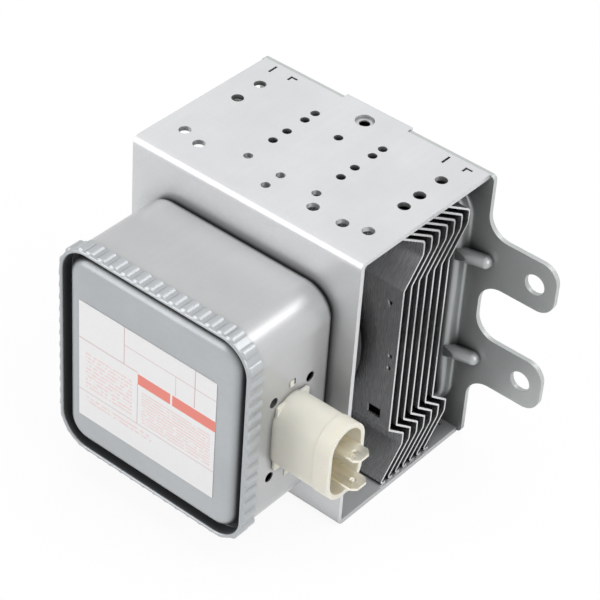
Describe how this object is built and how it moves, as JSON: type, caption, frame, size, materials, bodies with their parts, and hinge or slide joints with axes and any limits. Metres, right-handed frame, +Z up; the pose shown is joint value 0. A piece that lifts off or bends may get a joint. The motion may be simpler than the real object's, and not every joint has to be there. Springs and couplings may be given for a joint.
{
  "type": "magnetron",
  "caption": "Microwave oven magnetron: finned tube between ring magnets in a folded steel yoke, with a crimped filter box, a side connector, an eared mounting plate and an antenna.",
  "frame": {"origin": "centre of the yoke's lower face, on which the part lies", "axes": "+X across, towards the connector and the fixing ears; +Y along the tube, from the lid to the antenna; +Z up, out of the yoke's upper side plate"},
  "size_m": [0.1073, 0.1209, 0.0935],
  "materials": {
    "zinc_sheet": "zinc-coated sheet",
    "plate_steel": "zinc-coated sheet",
    "fin_sheet": "mill sheet",
    "ferrite": "ground ferrite",
    "copper": "copper",
    "iron": "turned iron",
    "cup_steel": "drawn sheet",
    "hot_metal": "tungsten and molybdenum",
    "alumina": "fired alumina",
    "tinned": "tinned",
    "cap_steel": "drawn stainless sheet",
    "ring_steel": "pressed sheet",
    "wire_mesh": "knitted wire",
    "box_sheet": "zinc-coated sheet",
    "lid_sheet": "zinc-coated sheet",
    "label": "printed label, plain fields",
    "enamelled_wire": "enamelled copper wire",
    "cream_plastic": "moulded",
    "potting": "cast resin",
    "ground_plate": "zinc-coated sheet"
  },
  "bodies": {
    "root": {"yoke_frame": "zinc_sheet", "mounting_plate": "plate_steel", "fin_1": "fin_sheet", "fin_2": "fin_sheet", "fin_3": "fin_sheet", "fin_4": "fin_sheet", "fin_5": "fin_sheet", "fin_6": "fin_sheet", "fin_7": "fin_sheet", "input_magnet": "ferrite", "output_magnet": "ferrite", "ferrite_rod_1": "ferrite", "ferrite_rod_2": "ferrite", "anode_cylinder": "copper", "anode_vane_1": "copper", "anode_vane_2": "copper", "anode_vane_3": "copper", "anode_vane_4": "copper", "anode_vane_5": "copper", "anode_vane_6": "copper", "anode_vane_7": "copper", "anode_vane_8": "copper", "anode_vane_9": "copper", "anode_vane_10": "copper", "strap_ring_1": "copper", "strap_ring_2": "copper", "strap_ring_3": "copper", "strap_ring_4": "copper", "exhaust_tube": "copper", "antenna_lead": "copper", "pole_piece_input": "iron", "pole_piece_output": "iron", "seal_cup_input": "cup_steel", "seal_cup_output": "cup_steel", "filament": "hot_metal", "end_hat_input": "hot_metal", "end_hat_output": "hot_metal", "centre_lead": "hot_metal", "side_lead": "hot_metal", "stem_ceramic": "alumina", "output_ceramic": "alumina", "stem_terminal_1": "tinned", "stem_terminal_2": "tinned", "terminal_tab_1": "tinned", "terminal_tab_2": "tinned", "antenna_cap": "cap_steel", "gasket_ring": "ring_steel", "rf_gasket": "wire_mesh", "filter_box": "box_sheet", "filter_lid": "lid_sheet", "lid_label": "label", "choke_coil_1": "enamelled_wire", "choke_coil_2": "enamelled_wire", "connector_shell": "cream_plastic", "capacitor_potting": "potting", "capacitor_plate": "ground_plate"}
  },
  "joints": []
}
